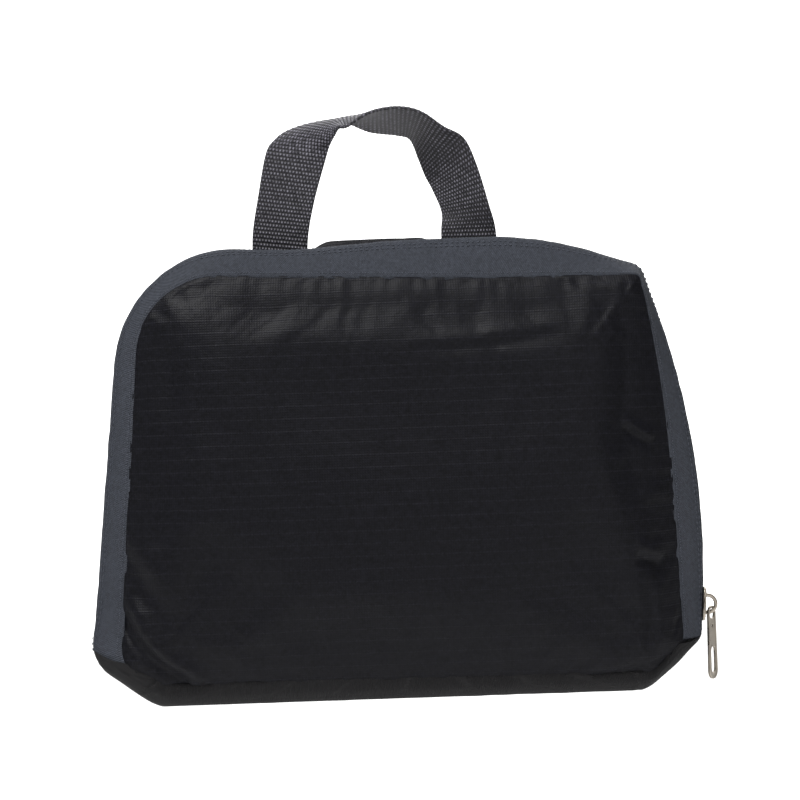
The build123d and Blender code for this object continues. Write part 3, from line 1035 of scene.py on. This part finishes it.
class BAG_OT_strips(bpy.types.Operator):
    """Add the strips along the base and the hinge of cloth between them"""

    bl_idname = "bag.strips"
    bl_label = "Base strips"

    def execute(self, context):
        colours = context.scene.bag_colours
        cloth = polyester_tape("nylon_strip_woven", colours.strip, 0.12, 0.8)
        for half in build_halves():
            add_sewn(self.strip(half), half, 0.8, "strip", cloth, "bottom_strip")
        piece = mapped_grid("base_fold_cloth", 90, 12, self.fold_place)
        thicken(piece, 0.3, 0.0)
        dress(piece, None, "strip", cloth)
        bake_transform(piece)
        return {"FINISHED"}

    @staticmethod
    def fold_place(column, row):
        """Point on the flat hinge of cloth, 190 mm long and 10 mm wide, just inside the base."""
        x, y = -95 + 190 * column / 90, -5 + 10 * row / 12
        return (x, y, 1.1), (x, y)

    @staticmethod
    def strip(half):
        """One strip, slightly puffed, with slanted ends."""
        first, last = LEFT_FOOT - STEPS, RIGHT_FOOT + CORNER_STEPS[2]
        columns, rows = last - first, 18

        def place(column, row):
            share = 1.05 * row / rows
            slant = 6.0 * share
            i = first + slant + (last - first - 2 * slant) * column / columns
            puff = 0.35 + 0.9 * sin(pi * min(max(share - 0.5, 0.0) / 0.55, 1.0))
            puff += 0.5 * noise.noise(Vector((i / 5.0, share * 3, half.side))) * smooth(share, 0.55, 0.8)
            at_base = half.base_share(i)
            lift = 0.5 + 0.4 * sin(pi * min(share, 1.0))
            lift += (puff * smooth(share, 0.5, 0.66) - lift) * at_base
            point = half.on_wall(i, share, lift)
            point.z = max(point.z, 0.0)
            return point, (half.lengths[int(i) % STEPS], share * 16)

        return mapped_grid(f"{half.name}_strip_cloth", columns, rows, place)


def through(points, t):
    """Point on a smooth line through the points, with t counted in points."""
    k = min(int(t), len(points) - 2)
    part = t - k
    before = points[max(k - 1, 0)]
    a, b = points[k], points[k + 1]
    after = points[min(k + 2, len(points) - 1)]
    return 0.5 * (
        (2 * a)
        + (b - before) * part
        + (2 * before - 5 * a + 4 * b - after) * part**2
        + (3 * a - before - 3 * b + after) * part**3
    )


class BAG_OT_handle(bpy.types.Operator):
    """Add the twisted webbing handle with its sewn-in ends"""

    bl_idname = "bag.handle"
    bl_label = "Handle"

    def execute(self, context):
        colours, sizes = context.scene.bag_colours, context.scene.bag_sizes
        edges = []
        for side in (0, 1):
            edges.append([Vector((p[side][0], WEB_Y + p[side][2], p[side][1])) for p in HANDLE_EDGES])
        columns, rows = 300, 30
        stations = []
        length = 0.0
        for i in range(columns + 1):
            t = i / columns * (len(HANDLE_EDGES) - 1)
            pair = (through(edges[0], t), through(edges[1], t))
            if stations:
                length += ((pair[0] + pair[1]) / 2 - (stations[-1][0] + stations[-1][1]) / 2).length
            stations.append((*pair, length))
        thickness = sizes.web_thickness / MM

        def place(column, row):
            first, second, along = stations[column]
            across = row / rows
            point = first.lerp(second, across)
            ahead = stations[min(column + 1, columns)]
            behind = stations[max(column - 1, 0)]
            normal = (second - first).cross((ahead[0] + ahead[1]) - (behind[0] + behind[1])).normalized()
            crown = 0.16 * cos(2 * pi * along / (sizes.web_row / MM))
            t = column / columns * (len(HANDLE_EDGES) - 1)
            point.z += WEB_BOW * exp(-((t - WEB_BOW_AT) ** 2)) * 4 * across * (1 - across)
            return point + normal * crown, (along, across * WEB_WIDTH)

        piece = mapped_grid("handle_webbing_woven", columns, rows, place)
        thicken(piece, thickness * 0.8, 0.0)
        refine(piece, 1)
        ends = ("handle_webbing", "handle_end_left", "handle_end_right")
        dress(piece, None, "webbing", webbing_nylon(colours, sizes), *ends)
        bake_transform(piece)
        return {"FINISHED"}


def slider_place():
    """Where the slider's own frame sits: X away from the bag, Z along the zip."""
    return (
        Matrix.Translation(Vector((RUN_X, 0, RUN_Z)) * MM)
        @ Matrix.Rotation(radians(-SLIDER_ANGLE), 4, "Y")
        @ Matrix.Translation(Vector((RUN_RADIUS * MM, 0, 0)))
    )


def rounded_plate(bm, near, thickness, width, length, corner, edge):
    """A slider plate with round corners and softened edges."""
    made = bmesh.ops.create_cube(bm, size=1.0)["verts"]
    bmesh.ops.scale(bm, vec=(thickness * MM, width * MM, length * MM), verts=made)
    bmesh.ops.translate(bm, vec=((near + thickness / 2) * MM, 0, 0), verts=made)
    edges = {e for v in made for e in v.link_edges}
    upright = [e for e in edges if abs(e.verts[0].co.x - e.verts[1].co.x) > 1e-6]
    done = bmesh.ops.bevel(
        bm, geom=upright, offset=corner * MM, segments=8, affect="EDGES", profile=0.5, material=-1
    )
    faces = {f for v in made if v.is_valid for f in v.link_faces} | set(done["faces"])
    rims = [
        e
        for e in {e for f in faces for e in f.edges}
        if e.is_valid and abs(e.verts[0].co.x - e.verts[1].co.x) < 1e-7 and e.calc_face_angle(0) > 1.0
    ]
    bmesh.ops.bevel(bm, geom=rims, offset=edge * MM, segments=3, affect="EDGES", profile=0.5, material=-1)


class BAG_OT_slider(bpy.types.Operator):
    """Add the zip's slider: two plates, the post between them and the arch that carries the pull"""

    bl_idname = "bag.slider"
    bl_label = "Slider"

    def execute(self, context):
        nickel = made_once("nickel_plated_zinc", plated_nickel, context.scene.bag_colours)
        bm = bmesh.new()
        rounded_plate(bm, near=0.4, thickness=1.2, width=9.0, length=15.0, corner=3.2, edge=0.35)
        rounded_plate(bm, near=-4.2, thickness=1.0, width=7.0, length=13.0, corner=2.5, edge=0.25)
        post = bmesh.ops.create_cube(bm, size=1.0)["verts"]
        bmesh.ops.scale(bm, vec=(4.0 * MM, 0.6 * MM, 2.6 * MM), verts=post)
        bmesh.ops.translate(bm, vec=(-1.4 * MM, 0, -5.0 * MM), verts=post)
        # The arch is half a ring whose ends run straight down into the plate
        start = Vector((ARCH_X, 0, -ARCH_RADIUS)) * MM
        ring = bmesh.ops.create_circle(
            bm, segments=14, radius=ARCH_WIRE * MM, matrix=Matrix.Translation(start)
        )["verts"]
        bmesh.ops.rotate(bm, verts=ring, cent=start, matrix=Matrix.Rotation(radians(90), 3, "Y"))
        bmesh.ops.spin(
            bm,
            geom=list({e for v in ring for e in v.link_edges}),
            cent=(ARCH_X * MM, 0, 0),
            axis=(0, -1, 0),
            angle=pi,
            steps=28,
            use_merge=False,
        )
        open_edges = [e for e in bm.edges if e.is_boundary]
        legs = bmesh.ops.extrude_edge_only(bm, edges=open_edges)["geom"]
        foot = [g for g in legs if isinstance(g, bmesh.types.BMVert)]
        bmesh.ops.translate(bm, vec=(-1.6 * MM, 0, 0), verts=foot)
        bmesh.ops.recalc_face_normals(bm, faces=bm.faces)
        bmesh.ops.transform(bm, matrix=slider_place(), verts=bm.verts)
        piece = finished("slider_casting", bm)
        # Smooth shading that keeps the plates' sharp edges
        normals = piece.modifiers.new("Edges", "WEIGHTED_NORMAL")
        normals.keep_sharp = True
        dress(piece, "zip_slider", "nickel", nickel, "slider_body")
        return {"FINISHED"}


def circle_points(x, y, radius, start, end, steps):
    """Points on part of a circle, in degrees."""
    angles = [radians(start + (end - start) * k / steps) for k in range(steps + 1)]
    return [(x + radius * cos(a), y + radius * sin(a)) for a in angles]


def slot_points(width, length, y):
    """A slot with round ends, standing along Y."""
    radius = width / 2
    reach = length / 2 - radius
    return circle_points(0, y + reach, radius, 0, 180, 12) + circle_points(0, y - reach, radius, 180, 360, 12)


def plate_from_outlines(outlines, thickness, edge):
    """A flat plate with holes and softened edges, from its outlines in millimetres, as a mesh."""
    curve = bpy.data.curves.new("plate", "CURVE")
    curve.dimensions = "2D"
    curve.fill_mode = "BOTH"
    curve.extrude = (thickness / 2 - edge) * MM
    curve.bevel_depth = edge * MM
    curve.bevel_resolution = 2
    curve.offset = -edge * MM
    for points in outlines:
        spline = curve.splines.new("POLY")
        spline.points.add(len(points) - 1)
        for point, (x, y) in zip(spline.points, points):
            point.co = (x * MM, y * MM, 0, 1)
        spline.use_cyclic_u = True
    holder = bpy.data.objects.new("plate", curve)
    mesh = bpy.data.meshes.new_from_object(holder)
    bpy.data.objects.remove(holder)
    bpy.data.curves.remove(curve)
    return mesh


class BAG_OT_pull(bpy.types.Operator):
    """Add the zip pull: a flat bar with raised rims, a hole, a dimple and a window"""

    bl_idname = "bag.pull"
    bl_label = "Pull"

    def execute(self, context):
        nickel = made_once("nickel_plated_zinc", plated_nickel, context.scene.bag_colours)
        outer = self.outline(0.0)
        width, length, middle = PULL_WINDOW
        window = slot_points(width, length, middle)
        hole = slot_points(PULL_HOLE, PULL_HOLE + 0.01, 0.0)
        dimple = circle_points(0, -5.6, 0.8, 0, 345, 23)
        web = plate_from_outlines((outer, hole, window, dimple), 0.8, 0.12)
        rim = plate_from_outlines((outer, self.outline(0.85)), 1.2, 0.22)
        collar = plate_from_outlines((slot_points(width + 1.2, length + 1.2, middle), window), 1.1, 0.18)
        bm = bmesh.new()
        for mesh in (web, rim, collar):
            bm.from_mesh(mesh)
            bpy.data.meshes.remove(mesh)
        angle = radians(SLIDER_ANGLE)
        reach = RUN_RADIUS + ARCH_X
        hang = radians(PULL_HANG)
        x = RUN_X + reach * cos(angle) + ARCH_RADIUS * sin(hang)
        z = RUN_Z + reach * sin(angle) - ARCH_RADIUS * cos(hang) - PULL_DROP
        place = (
            Matrix.Translation(Vector((x, 0, z)) * MM)
            @ Matrix.Rotation(radians(PULL_TURN), 4, "Z")
            @ Matrix.Rotation(radians(90.0), 4, "X")
        )
        bmesh.ops.transform(bm, matrix=place, verts=bm.verts)
        piece = finished("pull_casting", bm, False)
        dress(piece, "pull", "nickel", nickel, "zip_pull")
        return {"FINISHED"}

    @staticmethod
    def outline(inset):
        """Outline of the bar, set inwards: a round head and a rounded foot joined by straight sides."""
        toe_y = PULL_HEAD - PULL_LENGTH + PULL_TOE
        head = circle_points(0, 0, PULL_HEAD - inset, 0, 180, 24)
        return head + circle_points(0, toe_y, PULL_TOE - inset, 180, 360, 24)


class BAG_OT_stage(bpy.types.Operator):
    """Add the pale floor, the soft lights and the camera"""

    bl_idname = "bag.stage"
    bl_label = "Stage"

    def execute(self, context):
        scene = context.scene
        scene.view_settings.view_transform = "Standard"
        world = bpy.data.worlds.new("studio")
        scene.world = world
        world.use_nodes = True
        sky = world.node_tree.nodes["Background"]
        sky.inputs["Color"].default_value = (1, 1, 1, 1)
        # The studio looks white all round, but lights the bag only faintly
        seen = add_node(world.node_tree, "ShaderNodeLightPath").outputs["Is Camera Ray"]
        glow = add_node(
            world.node_tree, "ShaderNodeMath", {0: seen, 1: 0.7, 2: 0.3}, operation="MULTIPLY_ADD"
        )
        world.node_tree.links.new(glow.outputs[0], sky.inputs["Strength"])
        bm = bmesh.new()
        bmesh.ops.create_circle(bm, cap_ends=True, segments=96, radius=4.0)
        bmesh.ops.translate(bm, vec=(0, 0, FLOOR_Z), verts=bm.verts)
        floor = finished("floor", bm, False)
        # Matt white paper: a pale floor with no shine and a barely uneven tone
        paper, tree, shader = start_material("matt_white_paper", 0.9, 0.1)
        place = add_node(tree, "ShaderNodeTexCoord").outputs["Object"]
        grain = add_node(tree, "ShaderNodeTexNoise", {"Vector": place, "Scale": 300.0})
        tone = add_node(
            tree,
            "ShaderNodeMapRange",
            {"Value": grain.outputs[0], "To Min": 0.93, "To Max": 0.97},
        )
        tree.links.new(tone.outputs[0], shader.inputs["Base Color"])
        shader.inputs["Emission Color"].default_value = (1, 1, 1, 1)
        shader.inputs["Emission Strength"].default_value = 0.15
        floor.data.materials.append(paper)
        self.backdrop()
        self.light(scene, "key", (-0.4, -0.55, 1.3), 0.6, 30.0)
        self.light(scene, "fill", (0.5, -1.3, 0.35), 0.8, 3.0)
        self.light(scene, "back", (0.3, 0.9, 1.1), 1.0, 12.0)
        self.camera(scene)
        return {"FINISHED"}

    @staticmethod
    def backdrop():
        """A bright white screen well behind the bag."""
        bm = bmesh.new()
        bmesh.ops.create_grid(bm, x_segments=4, y_segments=4, size=1.0)
        bmesh.ops.scale(bm, vec=(2.4, 1.5, 1.0), verts=bm.verts)
        bmesh.ops.rotate(bm, verts=bm.verts, cent=(0, 0, 0), matrix=Matrix.Rotation(radians(90), 3, "X"))
        bmesh.ops.translate(bm, vec=(0, 2.2, 1.45 + FLOOR_Z), verts=bm.verts)
        screen = finished("backdrop", bm, False)
        # Translucent white cloth lit from behind: an even white glow
        cloth, tree, shader = start_material("lit_white_screen", 0.9, 0.0)
        place = add_node(tree, "ShaderNodeTexCoord").outputs["Object"]
        folds = add_node(tree, "ShaderNodeTexNoise", {"Vector": place, "Scale": 1.0})
        glow = add_node(tree, "ShaderNodeMapRange", {"Value": folds.outputs[0], "To Min": 1.0, "To Max": 1.1})
        shader.inputs["Emission Color"].default_value = (1, 1, 1, 1)
        tree.links.new(glow.outputs[0], shader.inputs["Emission Strength"])
        screen.data.materials.append(cloth)

    @staticmethod
    def light(scene, name, place, size, power):
        """A square soft light that faces the bag."""
        lamp = bpy.data.lights.new(name, "AREA")
        lamp.shape = "SQUARE"
        lamp.size = size
        lamp.energy = power
        holder = bpy.data.objects.new(name, lamp)
        holder.location = place
        target = Vector((0, 0, 0.12)) - Vector(place)
        holder.rotation_euler = target.to_track_quat("-Z", "Y").to_euler()
        scene.collection.objects.link(holder)

    @staticmethod
    def camera(scene):
        """The camera looks straight at the front, a little from above and turned 2 degrees about its axis."""
        lens = bpy.data.cameras.new("camera")
        lens.lens = 100.0
        lens.sensor_width = 36.0
        aim = Vector((0.00476, 0.0, 0.1329))
        distance = 0.999
        down = radians(1.3)
        roll = radians(2.0)
        ahead = Vector((0, cos(down), -sin(down)))
        right = Vector((1, 0, 0))
        up = right.cross(ahead)
        turned_right = right * cos(roll) - up * sin(roll)
        turned_up = right * sin(roll) + up * cos(roll)
        axes = Matrix((turned_right, turned_up, -ahead)).transposed().to_4x4()
        holder = bpy.data.objects.new("camera", lens)
        holder.matrix_world = Matrix.Translation(aim - ahead * distance) @ axes
        scene.collection.objects.link(holder)
        scene.camera = holder


OPERATORS = (
    BAG_OT_stage,
    BAG_OT_panels,
    BAG_OT_padding,
    BAG_OT_tapes,
    BAG_OT_strips,
    BAG_OT_handle,
    BAG_OT_slider,
    BAG_OT_pull,
)


class BAG_PT_panel(bpy.types.Panel):
    """Lists the bag's pieces, sizes and colours in the sidebar"""

    bl_idname = "BAG_PT_panel"
    bl_label = "Hanging Toiletry Bag"
    bl_space_type = "VIEW_3D"
    bl_region_type = "UI"
    bl_category = "Bag"

    def draw(self, context):
        for operator in OPERATORS:
            self.layout.operator(operator.bl_idname)
        for group in (context.scene.bag_sizes, context.scene.bag_colours):
            box = self.layout.box()
            for name in group.bl_rna.properties.keys():
                if name not in ("rna_type", "name"):
                    box.prop(group, name)


CLASSES = (BagSizes, BagColours, *OPERATORS, BAG_PT_panel)


def register():
    """Register the classes and the bag's sizes and colours."""
    for item in CLASSES:
        bpy.utils.register_class(item)
    bpy.types.Scene.bag_sizes = bpy.props.PointerProperty(type=BagSizes)
    bpy.types.Scene.bag_colours = bpy.props.PointerProperty(type=BagColours)


def unregister():
    """Take back what register did."""
    del bpy.types.Scene.bag_colours
    del bpy.types.Scene.bag_sizes
    for item in reversed(CLASSES):
        bpy.utils.unregister_class(item)


def main():
    """Register the add-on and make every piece."""
    register()
    for operator in OPERATORS:
        group, name = operator.bl_idname.split(".")
        getattr(getattr(bpy.ops, group), name)()


if __name__ == "__main__":
    main()
